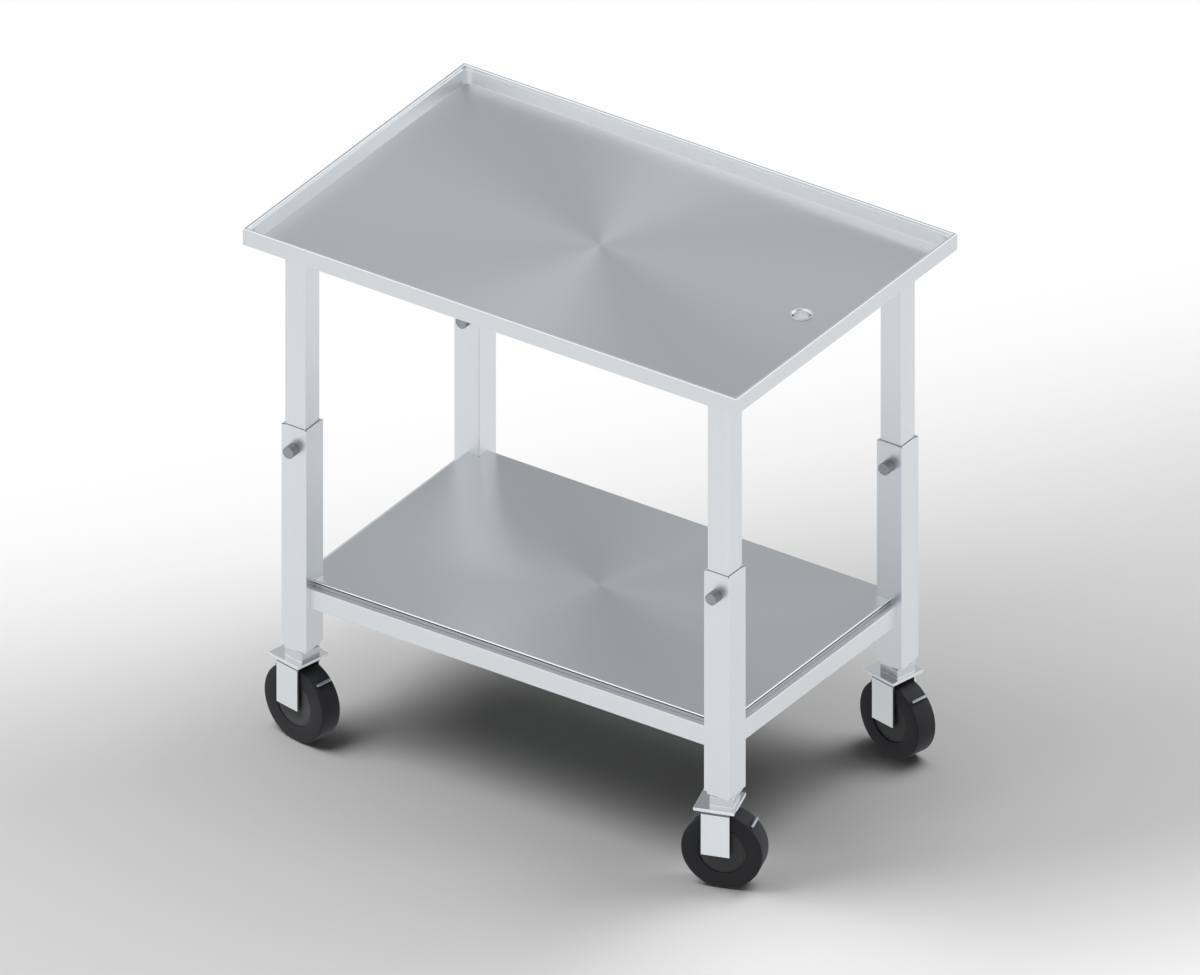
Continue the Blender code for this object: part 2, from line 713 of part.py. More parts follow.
def build_casters():
    plate = caster_plate_mesh()
    kingpin = kingpin_mesh()
    fork = fork_mesh()
    tyre, hub = wheel_meshes()
    axle = laid(extruded([circle(AXLE_DIAMETER, SMALL_FACETS)], -FORK_OUTER, FORK_OUTER), ALONG_FRONT)
    brake = brake_mesh()
    for name, side_x, side_y, turn in CORNERS:
        swivel = bpy.data.objects.new("swivel_axis_" + name, None)
        parts.objects.link(swivel)
        swivel.location = (
            side_x * LEG_X - CASTER_OFFSET * math.cos(turn),
            side_y * LEG_Y - CASTER_OFFSET * math.sin(turn),
            0,
        )
        swivel.rotation_euler = (0, 0, turn)
        axle_place = (AXLE_TRAIL, 0, AXLE_HEIGHT)
        piece("caster_plate_" + name, plate, STEEL, parent=swivel)
        piece("kingpin_" + name, kingpin, PLATED, parent=swivel, round_form=True)
        piece("fork_" + name, fork, STEEL, parent=swivel)
        piece("brake_strap_" + name, brake, DARK_STEEL, parent=swivel)
        piece("axle_" + name, axle, PLATED, axle_place, swivel, round_form=True)
        piece("tyre_" + name, tyre, RUBBER, axle_place, swivel, round_form=True)
        piece("wheel_hub_" + name, hub, HUB_PLASTIC, axle_place, swivel, round_form=True)


clear_scene()
parts = new_collection("dissection_cart")
cutters = new_collection("cutters")
build_tray()
build_drain()
build_upper_legs()
build_channels()
build_outer_legs()
build_lock_screws()
build_rails()
build_shelf()
build_plugs()
build_casters()
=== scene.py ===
"""Dissection cart: the looks of a folded steel tray on telescoping legs, over a shelf on casters."""

import math

import bmesh
import bpy
from mathutils import Matrix, Vector


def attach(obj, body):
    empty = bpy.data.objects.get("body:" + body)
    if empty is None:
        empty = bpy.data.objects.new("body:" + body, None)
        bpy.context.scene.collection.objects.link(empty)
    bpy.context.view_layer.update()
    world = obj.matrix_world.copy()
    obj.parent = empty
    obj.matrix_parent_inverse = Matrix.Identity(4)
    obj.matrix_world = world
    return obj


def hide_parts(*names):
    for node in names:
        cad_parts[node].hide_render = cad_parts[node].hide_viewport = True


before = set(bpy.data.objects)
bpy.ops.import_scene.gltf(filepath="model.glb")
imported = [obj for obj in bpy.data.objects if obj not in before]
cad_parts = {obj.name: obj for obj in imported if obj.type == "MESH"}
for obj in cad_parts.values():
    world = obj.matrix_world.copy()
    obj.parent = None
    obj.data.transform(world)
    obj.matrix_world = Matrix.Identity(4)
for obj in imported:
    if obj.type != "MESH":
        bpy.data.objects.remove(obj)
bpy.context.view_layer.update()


# Tyres: solid black rubber rings, moulded with rounded shoulders and a fine matt skin.
# Each is pressed over its hub and stands on the floor.
def put_down():
    """Leaves edit mode with nothing selected."""
    if bpy.context.mode != "OBJECT":
        bpy.ops.object.mode_set(mode="OBJECT")
    bpy.ops.object.select_all(action="DESELECT")


def take_up(name, size=(1, 1, 1)):
    """Names and sizes the primitive just added, settles it into its mesh and opens it for editing."""
    piece = bpy.context.object
    piece.name = name
    piece.data.name = name
    piece.scale = size
    bpy.ops.object.transform_apply(location=True, rotation=True, scale=True)
    bpy.ops.object.mode_set(mode="EDIT")
    return piece


def pick(kind, test):
    """Selects the faces or edges whose middle and direction pass a test."""
    bpy.ops.mesh.select_mode(type=kind)
    bpy.ops.mesh.select_all(action="DESELECT")
    shape = bmesh.from_edit_mesh(bpy.context.object.data)
    if kind == "FACE":
        for face in shape.faces:
            if test(face.calc_center_median(), face.normal):
                face.select_set(True)
    else:
        for edge in shape.edges:
            start, end = edge.verts[0].co, edge.verts[1].co
            if test((start + end) / 2, (end - start).normalized()):
                edge.select_set(True)
    bmesh.update_edit_mesh(bpy.context.object.data)


def work_with(piece, kind, **settings):
    """Adds a modifier with these settings and applies it."""
    put_down()
    piece.select_set(True)
    bpy.context.view_layer.objects.active = piece
    modifier = piece.modifiers.new(kind.title(), kind)
    for key, value in settings.items():
        setattr(modifier, key, value)
    bpy.ops.object.modifier_apply(modifier=modifier.name)


SHARP_ANGLE, SMOOTH_ANGLE = math.radians(40), math.radians(35)


def smooth(piece):
    """Shades a piece smooth, apart from its sharp edges."""
    put_down()
    piece.select_set(True)
    bpy.ops.object.shade_smooth_by_angle(angle=SMOOTH_ANGLE)


def ease_edges(piece, width, segments=2):
    """Breaks the sharp edges and shades the piece."""
    work_with(
        piece, "BEVEL", width=width, segments=segments, limit_method="ANGLE", angle_limit=SHARP_ANGLE
    )
    smooth(piece)
    work_with(piece, "WEIGHTED_NORMAL", weight=100, keep_sharp=True)


def feed(node, sockets):
    """Gives a node's sockets numbers, colours or the outputs of other nodes."""
    for socket, term in sockets.items():
        if isinstance(term, bpy.types.NodeSocket):
            node.id_data.links.new(term, node.inputs[socket])
        else:
            node.inputs[socket].default_value = term


def add_node(tree, kind, sockets=None, **settings):
    """Adds a node to a material or a sky, sets it up, feeds it and returns its outputs."""
    node = tree.nodes.new(f"ShaderNode{kind}")
    for key, value in settings.items():
        setattr(node, key, value)
    feed(node, sockets or {})
    return node.outputs


def reckon(tree, operation, *terms):
    """One sum with numbers or the outputs of other nodes."""
    return add_node(tree, "Math", dict(enumerate(terms)), operation=operation)["Value"]


def varied(tree, grain, colour, tone, roughness, spread):
    """A colour and a roughness for a shader that go up and down with a grain."""
    darker = [*(part * (1 - tone) for part in colour), 1]
    lighter = [*(min(part * (1 + tone), 1) for part in colour), 1]
    tint = add_node(tree, "Mix", {"Factor": grain, "A": darker, "B": lighter}, data_type="RGBA")
    smoothest, dullest = roughness * (1 - spread), roughness * (1 + spread)
    dull = add_node(tree, "MapRange", {"Value": grain, "To Min": smoothest, "To Max": dullest})
    return {"Base Color": tint["Result"], "Roughness": dull["Result"]}


def grained(name, colour, roughness, scale, tone, relief, stretch=(1, 1, 1), metallic=1.0, gloss=0.5):
    """A finish whose fine grain, drawn out by stretch, varies its tone, roughness and relief."""
    grain_share, cloud_scale, dull_spread, grain_depth = 0.7, 9.0, 0.15, 0.0003
    material = bpy.data.materials.new(name)
    material.use_nodes = True
    tree = material.node_tree
    place = add_node(tree, "TexCoord")["Object"]
    drawn = add_node(tree, "Mapping", {"Vector": place, "Scale": stretch})["Vector"]
    fine = {"Vector": drawn, "Scale": scale, "Detail": 5.0, "Roughness": 0.6}
    grain = add_node(tree, "TexNoise", fine)["Fac"]
    broad = {"Vector": place, "Scale": cloud_scale, "Detail": 3.0}
    cloud = add_node(tree, "TexNoise", broad)["Fac"]
    cloud_part = reckon(tree, "MULTIPLY", cloud, 1 - grain_share)
    blend = reckon(tree, "MULTIPLY_ADD", grain, grain_share, cloud_part)
    skin = {"Height": grain, "Strength": relief, "Distance": grain_depth}
    bump = add_node(tree, "Bump", skin)["Normal"]
    shader = tree.nodes["Principled BSDF"]
    feed(shader, {"Metallic": metallic, "Specular IOR Level": gloss, "Normal": bump})
    feed(shader, varied(tree, blend, colour, tone, roughness, dull_spread))
    return material


LEG_X, LEG_Y = 0.3915, 0.235925
SWIVEL_OFFSET = 0.0085
CORNERS = (
    ("front_left", -1, -1, math.radians(-12)),
    ("front_right", 1, -1, math.radians(18)),
    ("rear_left", -1, 1, math.radians(-12)),
    ("rear_right", 1, 1, math.radians(-12)),
)
SHARED_BODIES = ("lower_frame", "tray_frame")


def at_caster(x, y, turn):
    """Where a caster stands: turned, and off its leg by the swivel's offset."""
    along = Vector((math.cos(turn), math.sin(turn), 0)) * SWIVEL_OFFSET
    spot = Matrix.Translation(Vector((x * LEG_X, y * LEG_Y, 0)) - along)
    return spot @ Matrix.Rotation(turn, 4, "Z")


def at_each_corner(pattern, name, node, body, where):
    """Stands a copy of a piece at each corner, on its body, and takes the pattern away."""
    put_down()
    for corner, x, y, turn in CORNERS:
        copy = pattern.copy()
        copy.data = pattern.data.copy()
        copy.name = copy.data.name = f"{name}_{corner}"
        bpy.context.scene.collection.objects.link(copy)
        copy.data.transform(where(x, y, turn))
        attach(copy, body if body in SHARED_BODIES else f"{body}_{corner}")
        if node:
            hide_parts(f"{node}_{corner}")
    bpy.data.objects.remove(pattern)


TYRE_RADIUS, TYRE_WIDTH, TYRE_BORE = 0.065, 0.0379, 0.038
SHOULDER_ROUND, BORE_ROUND = 0.0022, 0.0007
AXLE = Vector((SWIVEL_OFFSET, 0, TYRE_RADIUS))
CROSSWISE = (math.pi / 2, 0, 0)
FACING, NEAR = 0.9, 0.0001


def from_axle(point):
    """How far a point lies from the axle's line."""
    return math.hypot(point.x - AXLE.x, point.z - AXLE.z)


def on_tyre_side(point):
    """Whether a point lies on one of the tyre's flat sides."""
    return abs(point.y) > TYRE_WIDTH / 2 - NEAR


put_down()
bpy.ops.mesh.primitive_cylinder_add(
    vertices=96, radius=TYRE_RADIUS, depth=TYRE_WIDTH, location=AXLE, rotation=CROSSWISE
)
tyre = take_up("tyre_pattern")
pick("FACE", lambda middle, normal: abs(normal.y) > FACING)
bpy.ops.mesh.inset(thickness=TYRE_RADIUS - TYRE_BORE)
bpy.ops.mesh.bridge_edge_loops()
pick("EDGE", lambda middle, way: on_tyre_side(middle) and from_axle(middle) > TYRE_RADIUS - NEAR)
bpy.ops.mesh.bevel(offset=SHOULDER_ROUND, segments=5, affect="EDGES")
pick("EDGE", lambda middle, way: on_tyre_side(middle) and from_axle(middle) < TYRE_BORE + NEAR)
bpy.ops.mesh.bevel(offset=BORE_ROUND, segments=2, affect="EDGES")
smooth(tyre)
black_rubber = grained(
    "black_rubber", (0.051, 0.052, 0.060), roughness=0.6, scale=700.0, tone=0.25, relief=0.12,
    metallic=0.0, gloss=0.34,
)
tyre.data.materials.append(black_rubber)
at_each_corner(tyre, "rubber_tyre", "tyre", "wheel", at_caster)


# Wheel hubs: dark grey moulded nylon discs, set a little below the tyre's side.
# A groove runs round the rim, and a boss on each side reaches to the fork.
HUB_RADIUS, HUB_WIDTH, HUB_RIM, HUB_WEB = 0.0377, 0.033, 0.0012, 0.0223
GROOVE_WIDTH, GROOVE_DEPTH, GROOVE_SLOPE = 0.0009, 0.0005, 0.0003
HUB_BOSS_HEIGHT, HUB_BOSS_SLOPE, HUB_BOSS_WALL = 0.00445, 0.0007, 0.0077
put_down()
bpy.ops.mesh.primitive_cylinder_add(
    vertices=96, radius=HUB_RADIUS, depth=HUB_WIDTH, location=AXLE, rotation=CROSSWISE
)
hub = take_up("hub_pattern")
pick("FACE", lambda middle, normal: abs(normal.y) > FACING)
for inward, outward in (
    (HUB_RIM, 0),
    (GROOVE_SLOPE, -GROOVE_DEPTH),
    (GROOVE_WIDTH, 0),
    (GROOVE_SLOPE, GROOVE_DEPTH),
    (HUB_WEB, 0),
    (HUB_BOSS_SLOPE, HUB_BOSS_HEIGHT),
    (HUB_BOSS_WALL, 0),
):
    bpy.ops.mesh.inset(thickness=inward, depth=outward)
bpy.ops.mesh.bridge_edge_loops()
ease_edges(hub, width=0.0002)
grey_nylon = grained(
    "grey_nylon", (0.21, 0.211, 0.216), roughness=0.5, scale=500.0, tone=0.15, relief=0.06,
    metallic=0.0, gloss=0.4,
)
hub.data.materials.append(grey_nylon)
at_each_corner(hub, "hub_disc", "wheel_hub", "wheel", at_caster)


# Axles: plain plated steel pins through the hub, turned with dished and chamfered ends.
# They sit in blind bores in the fork's two sides, so that no ring shows outside.
AXLE_RADIUS, AXLE_LENGTH = 0.004, 0.0468
DISH_EDGE, DISH_DEPTH = 0.0010, 0.0002
put_down()
bpy.ops.mesh.primitive_cylinder_add(
    vertices=48, radius=AXLE_RADIUS, depth=AXLE_LENGTH, location=AXLE, rotation=CROSSWISE
)
axle = take_up("axle_pattern")
pick("FACE", lambda middle, normal: abs(normal.y) > FACING)
bpy.ops.mesh.inset(thickness=DISH_EDGE, depth=-DISH_DEPTH)
ease_edges(axle, width=0.0004)
plated_steel = grained(
    "plated_steel", (0.80, 0.81, 0.83), roughness=0.22, scale=900.0, tone=0.03, relief=0.02
)
axle.data.materials.append(plated_steel)
at_each_corner(axle, "axle_pin", "axle", "caster", at_caster)


# Forks: strips of satin steel bent to an upside-down U with square lower ends.
# They are bored inside for the axle, and through the crown for the kingpin.
# The top of the crown is painted dark, a painted shade for the gap under the caster plate.
def drill(piece, radius, start, end):
    """Cuts a round hole from start to end."""
    start, end = Vector(start), Vector(end)
    put_down()
    bpy.ops.mesh.primitive_cylinder_add(
        vertices=48,
        radius=radius,
        depth=(end - start).length,
        location=(start + end) / 2,
        rotation=(end - start).to_track_quat("Z", "Y").to_euler(),
    )
    bit = bpy.context.object
    work_with(piece, "BOOLEAN", operation="DIFFERENCE", object=bit)
    bpy.data.objects.remove(bit)


CROWN_TOP, FORK_HALF, FORK_STRIP = 0.1365, 0.02475, 0.0458
FORK_DROP, FORK_BEND, FORK_THICK = 0.078, 0.0058, 0.0035
AXLE_BORE, AXLE_BORE_REACH = 0.0043, Vector((0, 0.0235, 0))
PIN_BORE, CROWN_BORE_LOW, CROWN_BORE_HIGH = 0.0063, 0.12, 0.15
CROWN_SHADE_DEPTH = 0.0056
put_down()
bpy.ops.mesh.primitive_plane_add(size=1, location=(0, 0, CROWN_TOP))
fork = take_up("fork_pattern", (FORK_STRIP, 2 * FORK_HALF, 1))
pick("EDGE", lambda middle, way: abs(middle.y) > FORK_HALF - NEAR)
bpy.ops.mesh.extrude_edges_move(TRANSFORM_OT_translate={"value": (0, 0, -FORK_DROP)})
pick("EDGE", lambda middle, way: abs(middle.y) > FORK_HALF - NEAR and middle.z > CROWN_TOP - NEAR)
bpy.ops.mesh.bevel(offset=FORK_BEND, segments=6, affect="EDGES")
bpy.ops.mesh.select_all(action="SELECT")
bpy.ops.mesh.normals_make_consistent(inside=False)
work_with(fork, "SOLIDIFY", thickness=FORK_THICK, offset=-1, use_even_offset=True)
drill(fork, AXLE_BORE, AXLE - AXLE_BORE_REACH, AXLE + AXLE_BORE_REACH)
drill(fork, PIN_BORE, (0, 0, CROWN_BORE_LOW), (0, 0, CROWN_BORE_HIGH))
ease_edges(fork, width=0.0004)
satin_steel = grained(
    "satin_steel", (0.85, 0.88, 0.905), roughness=0.34, scale=420.0, tone=0.03, relief=0.03,
    stretch=(1, 1, 0.06),
)
# Painted shade: the crown's top and bend are painted near black, standing in for the shadow under the
# plate.
crown_painted_shade = grained(
    "crown_painted_shade", (0.17, 0.18, 0.19), roughness=0.45, scale=500.0, tone=0.08, relief=0.05
)
fork.data.materials.append(satin_steel)
fork.data.materials.append(crown_painted_shade)
# The faces near the top of the crown take the painted shade.
for face in fork.data.polygons:
    face.material_index = int(face.center.z > CROWN_TOP - CROWN_SHADE_DEPTH)
at_each_corner(fork, "fork_strip", "fork", "caster", at_caster)


# Brake straps: thin dark spring steel bent round the tread, from a pad under the crown.
# A rounded bright bar is fixed across the free end of each.
STRAP_RADIUS, STRAP_HALF, STRAP_THICK = 0.0658, 0.01445, 0.0012
STRAP_ROOT, STRAP_TIP = math.radians(88.2), math.radians(44)
MERGE = 0.00001
STRAP_PAD_AT, STRAP_PAD_SIZE = (0.0166, 0, 0.13205), (0.0117, 0.0249, 0.0013)


def round_axle(angle, radius):
    """A point on a circle about the axle, by its angle above level."""
    return AXLE + Vector((math.cos(angle), 0, math.sin(angle))) * radius


put_down()
bpy.ops.mesh.primitive_plane_add(size=1, location=round_axle(STRAP_ROOT, STRAP_RADIUS))
strap = take_up("strap_pattern", (0, 2 * STRAP_HALF, 1))
bpy.ops.mesh.select_all(action="SELECT")
bpy.ops.mesh.remove_doubles(threshold=MERGE)
bpy.ops.mesh.select_all(action="SELECT")
bpy.ops.mesh.spin(steps=18, angle=STRAP_ROOT - STRAP_TIP, center=AXLE, axis=(0, 1, 0))
bpy.ops.mesh.select_all(action="SELECT")
bpy.ops.mesh.remove_doubles(threshold=MERGE)
bpy.ops.mesh.normals_make_consistent(inside=False)
pick("FACE", lambda middle, normal: normal.z < 0)
bpy.ops.mesh.flip_normals()
work_with(strap, "SOLIDIFY", thickness=STRAP_THICK, offset=1, use_even_offset=True)
put_down()
bpy.ops.mesh.primitive_cube_add(size=1, location=STRAP_PAD_AT)
strap_pad = take_up("strap_pad", STRAP_PAD_SIZE)
work_with(strap, "BOOLEAN", operation="UNION", object=strap_pad)
bpy.data.objects.remove(strap_pad)
ease_edges(strap, width=0.0003)
spring_steel = grained(
    "spring_steel", (0.030, 0.031, 0.034), roughness=0.5, scale=500.0, tone=0.2, relief=0.05,
    stretch=(1, 0.1, 1), metallic=0.0,
)
strap.data.materials.append(spring_steel)
at_each_corner(strap, "brake_leaf", "brake_strap", "caster", at_caster)

BAR_ANGLE, BAR_RADIUS = math.radians(46), 0.0687
BAR_WIDTH, BAR_THICK, BAR_ROUND = 0.0045, 0.0038, 0.0011
put_down()
bpy.ops.mesh.primitive_cube_add(
    size=1, location=round_axle(BAR_ANGLE, BAR_RADIUS), rotation=(0, math.pi / 2 - BAR_ANGLE, 0)
)
bar = take_up("bar_pattern", (BAR_WIDTH, 2 * STRAP_HALF, BAR_THICK))
bpy.ops.mesh.select_all(action="SELECT")
bpy.ops.mesh.bevel(offset=BAR_ROUND, segments=3, affect="EDGES")
smooth(bar)
bar_steel = grained(
    "bar_steel", (0.42, 0.45, 0.48), roughness=0.3, scale=600.0, tone=0.05, relief=0.03,
    stretch=(1, 0.1, 1),
)
bar.data.materials.append(bar_steel)
at_each_corner(bar, "brake_bar", None, "caster", at_caster)


# Kingpins: plated steel pins with a double race collar, riveted into the crown.
# The collar carries the plate while the fork turns below it.
RACE_RADIUS, RACE_THICK, RACE_MIDDLE = 0.016, 0.0024, 0.138
RACE_SPLIT, RACE_SPLIT_DEPTH = 0.0003, 0.0009
PIN_RADIUS, PIN_NECK, PIN_TAIL, PIN_RISE = 0.006, 0.0010, 0.0028, 0.0062
put_down()
bpy.ops.mesh.primitive_cylinder_add(
    vertices=64, radius=RACE_RADIUS, depth=RACE_THICK, location=(0, 0, RACE_MIDDLE)
)
race = take_up("race_pattern")
for split in (-RACE_SPLIT, RACE_SPLIT):
    bpy.ops.mesh.select_all(action="SELECT")
    bpy.ops.mesh.bisect(plane_co=(0, 0, RACE_MIDDLE + split), plane_no=(0, 0, 1))
pick(
    "FACE",
    lambda middle, normal: abs(normal.z) < 1 - FACING and abs(middle.z - RACE_MIDDLE) < RACE_SPLIT,
)
bpy.ops.mesh.extrude_region_shrink_fatten(TRANSFORM_OT_shrink_fatten={"value": -RACE_SPLIT_DEPTH})
pick("FACE", lambda middle, normal: normal.z < -FACING)
bpy.ops.mesh.inset(thickness=RACE_RADIUS - PIN_RADIUS)
for drop in (PIN_NECK, PIN_TAIL):
    bpy.ops.mesh.extrude_region_move(TRANSFORM_OT_translate={"value": (0, 0, -drop)})
pick("FACE", lambda middle, normal: normal.z > FACING)
bpy.ops.mesh.inset(thickness=RACE_RADIUS - PIN_RADIUS)
bpy.ops.mesh.extrude_region_move(TRANSFORM_OT_translate={"value": (0, 0, PIN_RISE)})
ease_edges(race, width=0.0002)
race.data.materials.append(plated_steel)
at_each_corner(race, "swivel_race", "kingpin", "lower_frame", at_caster)


# Caster plates: square steel plates with a square boss welded on top.
# The boss stands under the leg, off the middle of the plate.
PLATE_TOP, PLATE_SIDE, PLATE_THICK, PLATE_CORNER = 0.145, 0.066, 0.0055, 0.0012
BOSS_MIDDLE, BOSS_SIDE, BOSS_HEIGHT, BOSS_CORNER = 0.15225, 0.0381, 0.0165, 0.0008
PLATE_BORE_LOW, PLATE_BORE_HIGH = 0.13, 0.1458
BOSS_FOOT, UPRIGHT = 0.001, 0.5
put_down()
bpy.ops.mesh.primitive_cube_add(size=1, location=(0, 0, PLATE_TOP - PLATE_THICK / 2))
plate = take_up("plate_pattern", (PLATE_SIDE, PLATE_SIDE, PLATE_THICK))
pick("EDGE", lambda middle, way: abs(way.z) > FACING)
bpy.ops.mesh.bevel(offset=PLATE_CORNER, segments=3, affect="EDGES")
put_down()
bpy.ops.mesh.primitive_cube_add(size=1, location=(SWIVEL_OFFSET, 0, BOSS_MIDDLE))
boss = take_up("boss", (BOSS_SIDE, BOSS_SIDE, BOSS_HEIGHT))
pick("EDGE", lambda middle, way: abs(way.z) > FACING)
bpy.ops.mesh.bevel(offset=BOSS_CORNER, segments=3, affect="EDGES")
work_with(plate, "BOOLEAN", operation="UNION", object=boss)
bpy.data.objects.remove(boss)
drill(plate, PIN_BORE, (0, 0, PLATE_BORE_LOW), (0, 0, PLATE_BORE_HIGH))
ease_edges(plate, width=0.0008, segments=3)
plate_steel = grained(
    "plate_steel", (0.87, 0.89, 0.91), roughness=0.18, scale=900.0, tone=0.03, relief=0.02
)
# Painted shade: the boss's upright sides are painted darker than its top, which keeps the plate's finish.
boss_side_painted_shade = grained(
    "boss_side_painted_shade", (0.70, 0.73, 0.755), roughness=0.34, scale=420.0, tone=0.03, relief=0.03
)
plate.data.materials.append(plate_steel)
plate.data.materials.append(boss_side_painted_shade)
# Upright faces above the plate take the boss's painted shade.
for face in plate.data.polygons:
    above_plate = face.center.z > PLATE_TOP + BOSS_FOOT
    face.material_index = int(above_plate and abs(face.normal.z) < UPRIGHT)
at_each_corner(plate, "top_plate", "caster_plate", "lower_frame", at_caster)


# Foot plugs: square steel blocks driven into the lower end of each leg.
# A short length shows below the tube and takes the caster's stem.
def at_leg(x, y, turn):
    """Where a leg stands: square to the cart, whichever way its caster is turned."""
    return Matrix.Translation((x * LEG_X, y * LEG_Y, 0))


PLUG_SIDE, PLUG_LENGTH, PLUG_MIDDLE, PLUG_EDGE = 0.0394, 0.0416, 0.1816, 0.0012
STEM_BORE_LOW, STEM_BORE_HIGH = 0.15, 0.1915
put_down()
bpy.ops.mesh.primitive_cube_add(size=1, location=(0, 0, PLUG_MIDDLE))
plug = take_up("plug_pattern", (PLUG_SIDE, PLUG_SIDE, PLUG_LENGTH))
pick("FACE", lambda middle, normal: normal.z < -FACING)
bpy.ops.mesh.inset(thickness=PLUG_EDGE)
drill(plug, PIN_BORE, (0, 0, STEM_BORE_LOW), (0, 0, STEM_BORE_HIGH))
ease_edges(plug, width=0.0005)
plug.data.materials.append(satin_steel)
at_each_corner(plug, "foot_plug", "leg_plug", "lower_frame", at_leg)


# Lower leg tubes: square steel tube with a satin finish, open at both ends.
# The front wall of each is tapped for a lock screw near its top.
def tube(name, size, centre, along, wall, corner):
    """A block with its ends off, rounded along its edges and given a wall."""
    put_down()
    bpy.ops.mesh.primitive_cube_add(size=1, location=centre)
    piece = take_up(name, size)
    pick("FACE", lambda middle, normal: abs(normal[along]) > FACING)
    bpy.ops.mesh.delete(type="FACE")
    pick("EDGE", lambda middle, way: abs(way[along]) > FACING)
    bpy.ops.mesh.bevel(offset=corner, segments=4, affect="EDGES")
    work_with(piece, "SOLIDIFY", thickness=wall, offset=-1, use_even_offset=True)
    return piece


ALONG_X, ALONG_Y, ALONG_Z = 0, 1, 2
LOWER_SIDE, LOWER_LENGTH, LOWER_MIDDLE, LOWER_WALL = 0.0464, 0.3924, 0.3636, 0.0032
LEG_CORNER = 0.0008
LOCK_HEIGHT, LOCK_BORE, LOCK_BORE_START = 0.5226, 0.0053, -0.03
lower_tube = tube(
    "lower_tube_pattern", (LOWER_SIDE, LOWER_SIDE, LOWER_LENGTH), (0, 0, LOWER_MIDDLE), ALONG_Z,
    LOWER_WALL, LEG_CORNER,
)
drill(lower_tube, LOCK_BORE, (0, LOCK_BORE_START, LOCK_HEIGHT), (0, 0, LOCK_HEIGHT))
ease_edges(lower_tube, width=0.0003)
lower_tube.data.materials.append(satin_steel)
at_each_corner(lower_tube, "lower_tube", "outer_leg", "lower_frame", at_leg)


# Rails: oblong steel tube, cut square and welded between the legs on all four sides.
# The long pair runs along the front and back, the short pair across the ends.
RAIL_TOP, RAIL_HEIGHT, RAIL_WIDTH, RAIL_WALL, RAIL_CORNER = 0.27490, 0.0345, 0.026, 0.002, 0.0012
RAIL_MIDDLE = RAIL_TOP - RAIL_HEIGHT / 2
LONG_RAIL = (0.7365, RAIL_WIDTH, RAIL_HEIGHT)
SHORT_RAIL = (RAIL_WIDTH, 0.4253, RAIL_HEIGHT)
rail_steel = grained(
    "rail_steel", (0.85, 0.88, 0.905), roughness=0.34, scale=420.0, tone=0.03, relief=0.03,
    stretch=(0.06, 0.06, 1),
)
for rail_name, rail_size, rail_centre, rail_way in (
    ("front", LONG_RAIL, (0, -LEG_Y, RAIL_MIDDLE), ALONG_X),
    ("rear", LONG_RAIL, (0, LEG_Y, RAIL_MIDDLE), ALONG_X),
    ("left", SHORT_RAIL, (-LEG_X, 0, RAIL_MIDDLE), ALONG_Y),
    ("right", SHORT_RAIL, (LEG_X, 0, RAIL_MIDDLE), ALONG_Y),
):
    rail = tube(
        f"cross_tube_{rail_name}", rail_size, rail_centre, rail_way, RAIL_WALL, RAIL_CORNER
    )
    ease_edges(rail, width=0.0003)
    rail.data.materials.append(rail_steel)
    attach(rail, "lower_frame")
    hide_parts(f"rail_{rail_name}")


# Shelf: one steel sheet brushed in circles, notched at the corners round the legs.
# Its edges are folded down into a short flange that stands on the rails.
# The fold carries a painted highlight on top and a painted shade where it turns down.
def circle_brushed(name, colour, roughness):
    """Steel brushed in circles about the middle, with fine rings that vary tone and roughness."""
    brush_pull, ring_scale, tone, dull_spread = 0.95, 900.0, 0.02, 0.04
    material = bpy.data.materials.new(name)
    material.use_nodes = True
    tree = material.node_tree
    place = add_node(tree, "TexCoord")["Object"]
    apart = add_node(tree, "SeparateXYZ", {"Vector": place})
    outward = add_node(tree, "CombineXYZ", {"X": apart["X"], "Y": apart["Y"]})["Vector"]
    reach = add_node(tree, "VectorMath", {0: outward}, operation="LENGTH")["Value"]
    fine = {"W": reach, "Scale": ring_scale, "Detail": 3.0}
    rings = add_node(tree, "TexNoise", fine, noise_dimensions="1D")["Fac"]
    shader = tree.nodes["Principled BSDF"]
    feed(shader, {"Metallic": 1.0, "Anisotropic": brush_pull, "Tangent": outward})
    feed(shader, varied(tree, rings, colour, tone, roughness, dull_spread))
    return material


def face_sheet(sheet, way):
    """Turns an open folded sheet so that its widest face looks the given way."""
    bpy.ops.mesh.select_mode(type="FACE")
    bpy.ops.mesh.select_all(action="SELECT")
    bpy.ops.mesh.normals_make_consistent(inside=False)
    widest = max(bmesh.from_edit_mesh(sheet.data).faces, key=lambda face: face.calc_area())
    if widest.normal.dot(Vector(way)) < 0:
        bpy.ops.mesh.flip_normals()


SHELF_LENGTH, SHELF_WIDTH, SHELF_TOP = 0.7880, 0.47685, 0.2844
SHELF_FLANGE, SHELF_FOLD, SHEET_THICK = 0.0092, 0.0034, 0.0015
LEG_ROOM = 0.02325
NOTCH_X, NOTCH_Y = LEG_X - LEG_ROOM, LEG_Y - LEG_ROOM
FOLD_TURN, FOLD_END = 0.5, 0.05
put_down()
bpy.ops.mesh.primitive_plane_add(size=1, location=(0, 0, SHELF_TOP))
shelf = take_up("shelf_sheet", (SHELF_LENGTH, SHELF_WIDTH, 1))
for cut_at, cut_way in (
    ((NOTCH_X, 0, 0), (1, 0, 0)),
    ((-NOTCH_X, 0, 0), (1, 0, 0)),
    ((0, NOTCH_Y, 0), (0, 1, 0)),
    ((0, -NOTCH_Y, 0), (0, 1, 0)),
):
    bpy.ops.mesh.select_all(action="SELECT")
    bpy.ops.mesh.bisect(plane_co=cut_at, plane_no=cut_way)
pick("FACE", lambda middle, normal: abs(middle.x) > NOTCH_X and abs(middle.y) > NOTCH_Y)
